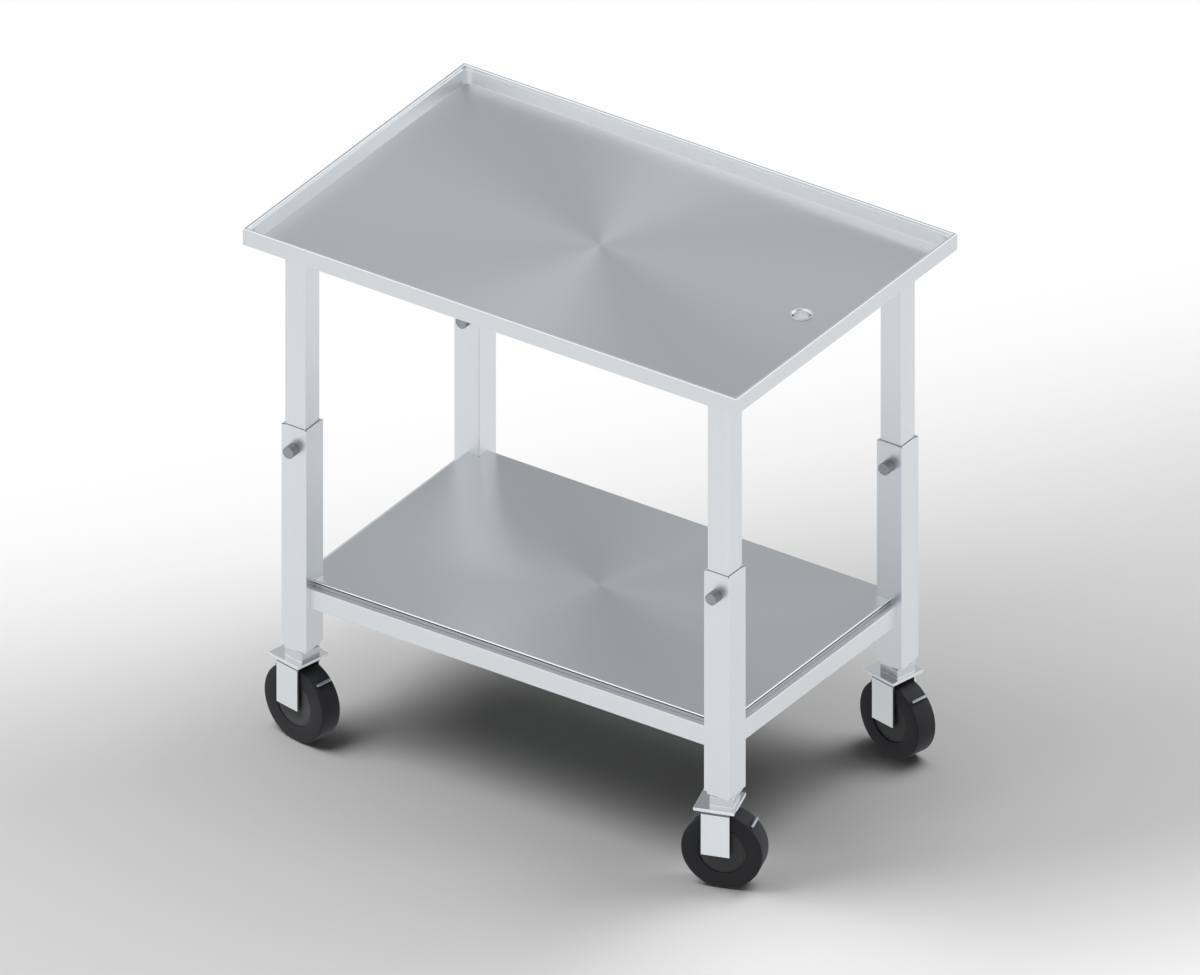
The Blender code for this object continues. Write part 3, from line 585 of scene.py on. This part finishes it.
bpy.ops.mesh.delete(type="FACE")
bpy.ops.mesh.select_mode(type="FACE")
bpy.ops.mesh.select_all(action="SELECT")
bpy.ops.mesh.dissolve_limited(angle_limit=math.radians(1))
bpy.ops.mesh.select_all(action="SELECT")
bpy.ops.mesh.region_to_loop()
bpy.ops.mesh.extrude_edges_move(TRANSFORM_OT_translate={"value": (0, 0, -SHELF_FLANGE)})
face_sheet(shelf, (0, 0, 1))
pick(
    "EDGE",
    lambda middle, way: middle.z > SHELF_TOP - NEAR and min(abs(middle.x), abs(middle.y)) < NEAR,
)
bpy.ops.mesh.bevel(offset=SHELF_FOLD, segments=6, affect="EDGES")
work_with(shelf, "SOLIDIFY", thickness=SHEET_THICK, offset=-1, use_even_offset=True)
ease_edges(shelf, width=0.0003)
# Painted shade: the flange, the sheet's cut edges and its underside are painted much darker than the
# rails' steel.
flange_painted_shade = grained(
    "flange_painted_shade", (0.45, 0.47, 0.49), roughness=0.34, scale=420.0, tone=0.03, relief=0.03,
    stretch=(0.1, 0.1, 1),
)
shelf_circles = circle_brushed("shelf_circles", (0.655, 0.68, 0.705), roughness=0.30)
# Painted highlight on the upper part of the fold, and painted shade on the part that turns down.
fold_painted_highlight = grained(
    "fold_painted_highlight", (0.94, 0.96, 0.98), roughness=0.26, scale=420.0, tone=0.02, relief=0.02,
    stretch=(0.1, 0.1, 1),
)
fold_painted_shade = grained(
    "fold_painted_shade", (0.036, 0.040, 0.046), roughness=0.40, scale=420.0, tone=0.05, relief=0.02,
    stretch=(0.1, 0.1, 1),
)
for finish in (flange_painted_shade, shelf_circles, fold_painted_highlight, fold_painted_shade):
    shelf.data.materials.append(finish)
# Flat top: circles; upper fold: painted highlight; lower fold: painted shade; all else: the flange's
# painted shade.
for face in shelf.data.polygons:
    if face.normal.z > FACING:
        face.material_index = 1
    elif face.normal.z > FOLD_TURN:
        face.material_index = 2
    elif face.normal.z > FOLD_END:
        face.material_index = 3
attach(shelf, "lower_frame")
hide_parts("shelf")


# Lock screws: dark turned steel, a plain round knob and a shank in one piece.
# Each is screwed through the front wall of its leg to grip the tube inside.
KNOB_RADIUS, KNOB_LENGTH, KNOB_MIDDLE = 0.010, 0.016, -0.0315
SHANK_STEP, SHANK_LENGTH = 0.005, 0.00415
RING_EDGE, RING_SLOPE, RING_DEPTH = 0.0022, 0.0004, 0.0003
KNOB_SIDE = 0.3
put_down()
bpy.ops.mesh.primitive_cylinder_add(
    vertices=64,
    radius=KNOB_RADIUS,
    depth=KNOB_LENGTH,
    location=(0, KNOB_MIDDLE, LOCK_HEIGHT),
    rotation=CROSSWISE,
)
knob = take_up("knob_pattern")
pick("FACE", lambda middle, normal: normal.y > FACING)
bpy.ops.mesh.inset(thickness=SHANK_STEP)
bpy.ops.mesh.extrude_region_move(TRANSFORM_OT_translate={"value": (0, SHANK_LENGTH, 0)})
pick("FACE", lambda middle, normal: normal.y < -FACING)
bpy.ops.mesh.inset(thickness=RING_EDGE)
bpy.ops.mesh.inset(thickness=RING_SLOPE, depth=-RING_DEPTH)
ease_edges(knob, width=0.0008, segments=3)
turned_steel = grained(
    "turned_steel", (0.37, 0.395, 0.42), roughness=0.36, scale=700.0, tone=0.08, relief=0.05,
    stretch=(0.1, 1, 0.1),
)
# Painted shade: the knob's round side is a darker copy of the end's turned steel.
turned_side_painted_shade = grained(
    "turned_side_painted_shade", (0.25, 0.265, 0.28), roughness=0.36, scale=700.0, tone=0.08, relief=0.05,
    stretch=(1, 0.1, 1),
)
knob.data.materials.append(turned_steel)
knob.data.materials.append(turned_side_painted_shade)
for face in knob.data.polygons:
    face.material_index = int(abs(face.normal.y) < KNOB_SIDE)
at_each_corner(knob, "lock_knob", "lock_screw", "knob", at_leg)


# Upper leg tubes: square steel tube that slides in the lower legs.
# They run up to the plates under the tray.
UPPER_SIDE, UPPER_LENGTH, UPPER_MIDDLE, UPPER_WALL = 0.0381, 0.5535, 0.60655, 0.002
upper_tube = tube(
    "upper_tube_pattern", (UPPER_SIDE, UPPER_SIDE, UPPER_LENGTH), (0, 0, UPPER_MIDDLE), ALONG_Z,
    UPPER_WALL, LEG_CORNER,
)
ease_edges(upper_tube, width=0.0003)
upper_tube.data.materials.append(satin_steel)
at_each_corner(upper_tube, "upper_tube", "inner_leg", "tray_frame", at_leg)


# Leg plates: steel pads welded to the top of each leg, under the tray floor.
# Four hex bolts with washers hold each one up to the tray.
PAD_UNDER, PAD_SIDE, PAD_THICK, PAD_CORNER = 0.8836, 0.090, 0.004, 0.006
WASHER_RADIUS, WASHER_THICK, WASHER_DROP = 0.0075, 0.0012, 0.0009
WASHER_CHAMFER, WASHER_RAISE = 0.0006, 0.0002
HEAD_RADIUS, HEAD_HEIGHT, HEAD_DROP = 0.0065, 0.0040, 0.0035
HEAD_CHAMFER, HEAD_RAISE = 0.0007, 0.0004
BOLT_SPREAD = 0.033
put_down()
bpy.ops.mesh.primitive_cube_add(size=1, location=(0, 0, PAD_UNDER + PAD_THICK / 2))
leg_pad = take_up("pad_pattern", (PAD_SIDE, PAD_SIDE, PAD_THICK))
pick("EDGE", lambda middle, way: abs(way.z) > FACING)
bpy.ops.mesh.bevel(offset=PAD_CORNER, segments=5, affect="EDGES")
ease_edges(leg_pad, width=0.0004)
leg_pad.data.materials.append(satin_steel)
at_each_corner(leg_pad, "leg_pad", "leg_plate", "tray_frame", at_leg)

put_down()
bpy.ops.mesh.primitive_cylinder_add(
    vertices=32, radius=WASHER_RADIUS, depth=WASHER_THICK, location=(0, 0, PAD_UNDER - WASHER_DROP)
)
washer = take_up("washer")
pick("FACE", lambda middle, normal: normal.z < -FACING)
bpy.ops.mesh.inset(thickness=WASHER_CHAMFER, depth=WASHER_RAISE)
ease_edges(washer, width=0.0002)
put_down()
bpy.ops.mesh.primitive_cylinder_add(
    vertices=6, radius=HEAD_RADIUS, depth=HEAD_HEIGHT, location=(0, 0, PAD_UNDER - HEAD_DROP)
)
bolt_head = take_up("bolt_head")
pick("FACE", lambda middle, normal: normal.z < -FACING)
bpy.ops.mesh.inset(thickness=HEAD_CHAMFER, depth=HEAD_RAISE)
ease_edges(bolt_head, width=0.0003)
put_down()
for bolt_x in (-BOLT_SPREAD, BOLT_SPREAD):
    for bolt_y in (-BOLT_SPREAD, BOLT_SPREAD):
        for fastener in (washer, bolt_head):
            copy = fastener.copy()
            copy.data = fastener.data.copy()
            copy.data.transform(Matrix.Translation((bolt_x, bolt_y, 0)))
            bpy.context.scene.collection.objects.link(copy)
            copy.select_set(True)
            bpy.context.view_layer.objects.active = copy
bpy.ops.object.join()
bolt_set = bpy.context.object
bpy.data.objects.remove(washer)
bpy.data.objects.remove(bolt_head)
bolt_set.data.materials.append(plated_steel)
at_each_corner(bolt_set, "pad_bolts", None, "tray_frame", at_leg)


# Tray channels: thin steel sheet folded to a hat section, spot welded under the tray floor.
# One runs from pad to pad along the front, and one along the back.
CHANNEL_LOW, CHANNEL_HIGH, CHANNEL_LENGTH = 0.8656, 0.8861, 0.6914
HAT_WIDTH, BRIM_WIDTH = 0.030, 0.058
for channel_name, channel_y in (("front", -LEG_Y), ("rear", LEG_Y)):
    put_down()
    bpy.ops.mesh.primitive_plane_add(size=1, location=(0, channel_y, CHANNEL_LOW))
    channel = take_up(f"hat_channel_{channel_name}", (CHANNEL_LENGTH, HAT_WIDTH, 1))
    pick("EDGE", lambda middle, way: abs(way.x) > FACING)
    bpy.ops.mesh.extrude_edges_move(
        TRANSFORM_OT_translate={"value": (0, 0, CHANNEL_HIGH - CHANNEL_LOW)}
    )
    bpy.ops.mesh.extrude_edges_move(TRANSFORM_OT_translate={"value": (0, 0, 0)})
    bpy.ops.transform.resize(value=(1, BRIM_WIDTH / HAT_WIDTH, 1))
    face_sheet(channel, (0, 0, -1))
    work_with(channel, "SOLIDIFY", thickness=SHEET_THICK, offset=-1, use_even_offset=True)
    ease_edges(channel, width=0.0006)
    channel.data.materials.append(rail_steel)
    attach(channel, "tray_frame")
    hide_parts(f"tray_channel_{channel_name}")


# Tray: one sheet of stainless steel with a rounded, sloping well and a floor brushed in circles.
# A narrow lip, a step and a flat rim run round it, and the skirt is folded down with mitred corners.
TRAY_LENGTH, TRAY_WIDTH, TRAY_TOP = 0.9144, 0.60325, 0.9144
TRAY_FLOOR, LIP_HEIGHT = 0.8894, 0.9094
RIM, LIP_INNER, RIM_ROUND, SKIRT = 0.0055, 0.0076, 0.0022, 0.0285
WELL_CORNER, WALL_LEAN, WALL_ROUND = 0.017, 0.005, 0.0006
STEP_LENGTH, STEP_WIDTH = TRAY_LENGTH - 2 * RIM, TRAY_WIDTH - 2 * RIM
DRAIN_X, DRAIN_HOLE = 0.3732, 0.0160
DRAIN_HOLE_LOW, DRAIN_HOLE_HIGH = (DRAIN_X, 0, 0.87), (DRAIN_X, 0, 0.9)
LEVEL, FLOOR_SPREAD = 0.99, 0.0003
WALL_TOP, WALL_STEEPEST, WALL_FLATTEST = LIP_HEIGHT - 0.0005, 0.1, 0.6


def on_step(point):
    """Whether a point lies on the outer line of the lip, where the step rises."""
    at_end = abs(point.x) > STEP_LENGTH / 2 - NEAR
    at_side = abs(point.y) > STEP_WIDTH / 2 - NEAR
    return point.z > LIP_HEIGHT - MERGE and (at_end or at_side)


put_down()
bpy.ops.mesh.primitive_plane_add(size=1, location=(0, 0, LIP_HEIGHT))
tray = take_up("tray_sheet", (TRAY_LENGTH - 2 * LIP_INNER, TRAY_WIDTH - 2 * LIP_INNER, 1))
bpy.ops.mesh.select_mode(type="VERT")
bpy.ops.mesh.select_all(action="SELECT")
bpy.ops.mesh.bevel(offset=WELL_CORNER, segments=12, affect="VERTICES")
bpy.ops.mesh.select_mode(type="FACE")
bpy.ops.mesh.select_all(action="SELECT")
bpy.ops.mesh.inset(thickness=WALL_LEAN, depth=TRAY_FLOOR - LIP_HEIGHT)
bpy.ops.mesh.region_to_loop()
bpy.ops.mesh.bevel(offset=WALL_ROUND, segments=2, affect="EDGES")
bpy.ops.mesh.select_mode(type="VERT")
bpy.ops.mesh.select_all(action="DESELECT")
bpy.ops.mesh.primitive_plane_add(size=1, location=(0, 0, LIP_HEIGHT))
bpy.ops.transform.resize(value=(STEP_LENGTH, STEP_WIDTH, 1))
bpy.ops.mesh.delete(type="ONLY_FACE")
pick("EDGE", lambda middle, way: middle.z > LIP_HEIGHT - MERGE)
bpy.ops.mesh.fill(use_beauty=True)
pick("EDGE", lambda middle, way: on_step(middle))
bpy.ops.mesh.extrude_edges_move(
    TRANSFORM_OT_translate={"value": (0, 0, TRAY_TOP - LIP_HEIGHT)}
)
bpy.ops.mesh.extrude_edges_move(TRANSFORM_OT_translate={"value": (0, 0, 0)})
bpy.ops.transform.resize(value=(TRAY_LENGTH / STEP_LENGTH, TRAY_WIDTH / STEP_WIDTH, 1))
bpy.ops.mesh.extrude_edges_move(TRANSFORM_OT_translate={"value": (0, 0, -SKIRT)})
pick(
    "EDGE",
    lambda middle, way: middle.z > TRAY_TOP - MERGE and max(abs(way.x), abs(way.y)) > LEVEL,
)
bpy.ops.mesh.bevel(offset=RIM_ROUND, segments=4, affect="EDGES")
face_sheet(tray, (0, 0, 1))
work_with(tray, "SOLIDIFY", thickness=SHEET_THICK, offset=-1, use_even_offset=True)
drill(tray, DRAIN_HOLE, DRAIN_HOLE_LOW, DRAIN_HOLE_HIGH)
ease_edges(tray, width=0.0004)
tray_fold = grained(
    "tray_fold", (0.83, 0.86, 0.88), roughness=0.22, scale=420.0, tone=0.02, relief=0.01,
    stretch=(0.06, 0.06, 1),
)
tray_circles = circle_brushed("tray_circles", (0.745, 0.77, 0.795), roughness=0.32)
tray_wall = grained(
    "tray_wall", (0.80, 0.825, 0.845), roughness=0.38, scale=420.0, tone=0.02, relief=0.008,
    stretch=(1, 1, 0.1),
)
for finish in (tray_fold, tray_circles, tray_wall):
    tray.data.materials.append(finish)
for face in tray.data.polygons:
    if face.normal.z > LEVEL and abs(face.center.z - TRAY_FLOOR) < FLOOR_SPREAD:
        face.material_index = 1
    elif TRAY_FLOOR < face.center.z < WALL_TOP:
        if WALL_STEEPEST < face.normal.z < WALL_FLATTEST:
            face.material_index = 2
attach(tray, "tray_frame")
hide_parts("tray")


# Drain: a bright plated ring with a bevelled mouth, in one piece with its threaded tail.
# A hex nut under the floor pulls the flange down on to the tray.
FLANGE_TOP, FLANGE_RADIUS, FLANGE_EDGE = TRAY_FLOOR + 0.0015, 0.0185, 0.0004
FLANGE_SLOPE, FLANGE_RISE = 0.0034, 0.0008
MOUTH_SLOPE, MOUTH_DEPTH = 0.0016, 0.0022
TAIL_STEP, TAIL_LENGTH, TAIL_WALL = 0.0028, 0.0355, 0.0022
NUT_RADIUS, NUT_HEIGHT, NUT_MIDDLE = 0.0254, 0.006, 0.8846
put_down()
bpy.ops.mesh.primitive_cylinder_add(
    vertices=96,
    radius=FLANGE_RADIUS,
    depth=FLANGE_EDGE,
    location=(DRAIN_X, 0, FLANGE_TOP - FLANGE_RISE - FLANGE_EDGE / 2),
)
drain = take_up("drain_ring")
pick("FACE", lambda middle, normal: normal.z < -FACING)
bpy.ops.mesh.inset(thickness=TAIL_STEP)
bpy.ops.mesh.extrude_region_move(TRANSFORM_OT_translate={"value": (0, 0, -TAIL_LENGTH)})
bpy.ops.mesh.inset(thickness=TAIL_WALL)
pick("FACE", lambda middle, normal: normal.z > FACING)
bpy.ops.mesh.inset(thickness=FLANGE_SLOPE, depth=FLANGE_RISE)
bpy.ops.mesh.inset(thickness=MOUTH_SLOPE, depth=-MOUTH_DEPTH)
pick(
    "FACE",
    lambda middle, normal: abs(normal.z) > FACING and math.hypot(middle.x - DRAIN_X, middle.y) < NEAR,
)
bpy.ops.mesh.bridge_edge_loops()
ease_edges(drain, width=0.0002)
drain.data.materials.append(plate_steel)
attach(drain, "tray_frame")
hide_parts("drain_body")

put_down()
bpy.ops.mesh.primitive_cylinder_add(
    vertices=6, radius=NUT_RADIUS, depth=NUT_HEIGHT, location=(DRAIN_X, 0, NUT_MIDDLE)
)
drain_nut = take_up("drain_nut")
drill(drain_nut, DRAIN_HOLE, DRAIN_HOLE_LOW, DRAIN_HOLE_HIGH)
ease_edges(drain_nut, width=0.0006)
drain_nut.data.materials.append(plated_steel)
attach(drain_nut, "tray_frame")
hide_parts("drain_locknut")


# Studio: a pale floor that fades to white, with a painted pool of light in front of the cart, three soft
# panels overhead and a pale sky.
# The camera looks down from the front right, from so far off that edges stay parallel.
# Light that has bounced off the floor or the cart counts for less, so that shadows stay deep.
FLOOR_SIZE, FLOOR_DROP = 80, 0.0002
FLOOR_GREY, PAINTED_LIGHT_WHITE, BOUNCE_GREY = (0.79, 0.79, 0.79, 1), (1, 1, 1, 1), (0.12, 0.12, 0.12, 1)
FADE_WAY, FADES = (-0.819, 0.574, 0), ((0.14, 1.08), (-0.47, -1.23))
# Where the painted pool of light lies on the floor, in front of the front right wheel, and how far it
# reaches.
PAINTED_LIGHT_CENTRE, PAINTED_LIGHT_REACH = (0.60, -0.37, 0), 0.42
MIRRORED_SHARE, MIRRORED_DIM = 0.65, -0.115
put_down()
bpy.ops.mesh.primitive_plane_add(size=FLOOR_SIZE, location=(0, 0, -FLOOR_DROP))
floor = bpy.context.object
floor.name = "studio_floor"
floor_paint = bpy.data.materials.new("floor_paint")
floor_paint.use_nodes = True
paint = floor_paint.node_tree
seen = add_node(paint, "LightPath")
seen_either = reckon(paint, "MAXIMUM", seen["Is Camera Ray"], seen["Is Glossy Ray"])
seen_any = reckon(paint, "MAXIMUM", seen_either, seen["Is Transmission Ray"])
floor_level = reckon(paint, "MULTIPLY_ADD", seen["Is Glossy Ray"], MIRRORED_DIM, seen_any)
floor_glow = add_node(paint, "Emission", {"Strength": floor_level})["Emission"]
floor_place = add_node(paint, "TexCoord")["Object"]
across = add_node(paint, "VectorMath", {0: floor_place, 1: FADE_WAY}, operation="DOT_PRODUCT")["Value"]
white_sides = []
for fade_start, fade_end in FADES:
    fade = {"Value": across, "From Min": fade_start, "From Max": fade_end}
    white_sides.append(add_node(paint, "MapRange", fade, interpolation_type="SMOOTHSTEP")["Result"])
floor_white = reckon(paint, "MAXIMUM", *white_sides)
# Painted pool of light: the floor's colour brightens to white towards a spot in front of the cart.
from_painted_light = add_node(paint, "VectorMath", {0: floor_place, 1: PAINTED_LIGHT_CENTRE}, operation="DISTANCE")["Value"]
painted_light_fade = {"Value": from_painted_light, "From Min": PAINTED_LIGHT_REACH, "From Max": 0.0}
in_painted_light = add_node(paint, "MapRange", painted_light_fade, interpolation_type="SMOOTHSTEP")["Result"]
painted_light_mix = {"Factor": in_painted_light, "A": FLOOR_GREY, "B": PAINTED_LIGHT_WHITE}
painted_light_tint = add_node(paint, "Mix", painted_light_mix, data_type="RGBA")["Result"]
seen_first = reckon(paint, "LESS_THAN", seen["Diffuse Depth"], 0.5)
floor_tones = {"Factor": seen_first, "A": BOUNCE_GREY, "B": painted_light_tint}
floor_tint = add_node(paint, "Mix", floor_tones, data_type="RGBA")["Result"]
mirrored_first = reckon(paint, "MULTIPLY", seen["Is Glossy Ray"], seen_first)
mirrored_white = reckon(paint, "MULTIPLY", mirrored_first, MIRRORED_SHARE)
floor_pale = reckon(paint, "MAXIMUM", floor_white, mirrored_white)
floor_shader = paint.nodes["Principled BSDF"]
feed(floor_shader, {"Roughness": 0.9, "Specular IOR Level": 0.1, "Base Color": floor_tint})
floor_layers = {"Fac": floor_pale, 1: floor_shader.outputs["BSDF"], 2: floor_glow}
floor_mix = add_node(paint, "MixShader", floor_layers)["Shader"]
feed(paint.nodes["Material Output"], {"Surface": floor_mix})
floor.data.materials.append(floor_paint)

PANEL_SIZE = 2.0
for panel_name, panel_place, panel_power in (
    ("left_panel", (-1.46, -1.21, 3.2), 65),
    ("right_panel", (1.22, 1.45, 3.2), 52),
    ("overhead_panel", (-0.15, 0.20, 3.4), 30),
):
    panel_turn = Vector(panel_place).to_track_quat("Z", "Y").to_euler()
    bpy.ops.object.light_add(type="AREA", location=panel_place, rotation=panel_turn)
    panel = bpy.context.object
    panel.name = panel_name
    panel.data.size = PANEL_SIZE
    panel.data.energy = panel_power
    panel.visible_glossy = False

HORIZON, MIDDLE_SKY, HIGH_SKY = (1.0, 1.0, 1.0, 1), (0.47, 0.475, 0.48, 1), (0.27, 0.275, 0.28, 1)
MIDDLE_SKY_AT, HIGH_SKY_AT, BOUNCED_SKY = 0.45, 0.8, 0.03
sky = bpy.data.worlds.new("pale_sky")
bpy.context.scene.world = sky
sky.use_nodes = True
sky_tree = sky.node_tree
sky_way = add_node(sky_tree, "TexCoord")["Generated"]
sky_height = add_node(sky_tree, "SeparateXYZ", {"Vector": sky_way})["Z"]
sky_ramp = sky_tree.nodes.new("ShaderNodeValToRGB")
sky_ramp.color_ramp.elements[0].position = 0.0
sky_ramp.color_ramp.elements[0].color = HORIZON
sky_ramp.color_ramp.elements[1].position = HIGH_SKY_AT
sky_ramp.color_ramp.elements[1].color = HIGH_SKY
sky_ramp.color_ramp.elements.new(MIDDLE_SKY_AT).color = MIDDLE_SKY
feed(sky_ramp, {"Fac": sky_height})
sky_sum = sky_ramp.outputs["Color"]
for glow_way, glow_focus, glow_level in (
    ((-0.46, -0.20, 0.865), 5.5, 0.95),
    ((0.51, 0.71, 0.48), 5.0, 0.68),
    ((0.0, -0.90, 0.44), 5.0, 0.42),
):
    toward_glow = add_node(sky_tree, "VectorMath", {0: sky_way, 1: glow_way}, operation="DOT_PRODUCT")
    glow_front = reckon(sky_tree, "MAXIMUM", toward_glow["Value"], 0.0)
    glow_fall = reckon(sky_tree, "POWER", glow_front, glow_focus)
    added = {0: glow_fall, 1: (glow_level, glow_level, glow_level), 2: sky_sum}
    sky_sum = add_node(sky_tree, "VectorMath", added, operation="MULTIPLY_ADD")["Vector"]
bounces = add_node(sky_tree, "LightPath")["Diffuse Depth"]
sky_fall = {"Value": bounces, "To Min": 1.0, "To Max": BOUNCED_SKY}
sky_level = add_node(sky_tree, "MapRange", sky_fall)["Result"]
feed(sky_tree.nodes["Background"], {"Color": sky_sum, "Strength": sky_level})

bpy.context.scene.view_settings.view_transform = "Standard"

toward = Vector((0.4828, -0.7112, 0.5109)).normalized()
aim = Vector((0, 0, 0.4569))
CAMERA_REACH, VIEW_WIDTH, VIEW_DEPTH = 12, 1.8397, 200
bpy.ops.object.camera_add(location=aim + toward * CAMERA_REACH)
camera = bpy.context.object
camera.rotation_mode = "QUATERNION"
camera.rotation_quaternion = (-toward).to_track_quat("-Z", "Y")
camera.data.type = "ORTHO"
camera.data.ortho_scale = VIEW_WIDTH
camera.data.clip_end = VIEW_DEPTH
bpy.context.scene.camera = camera
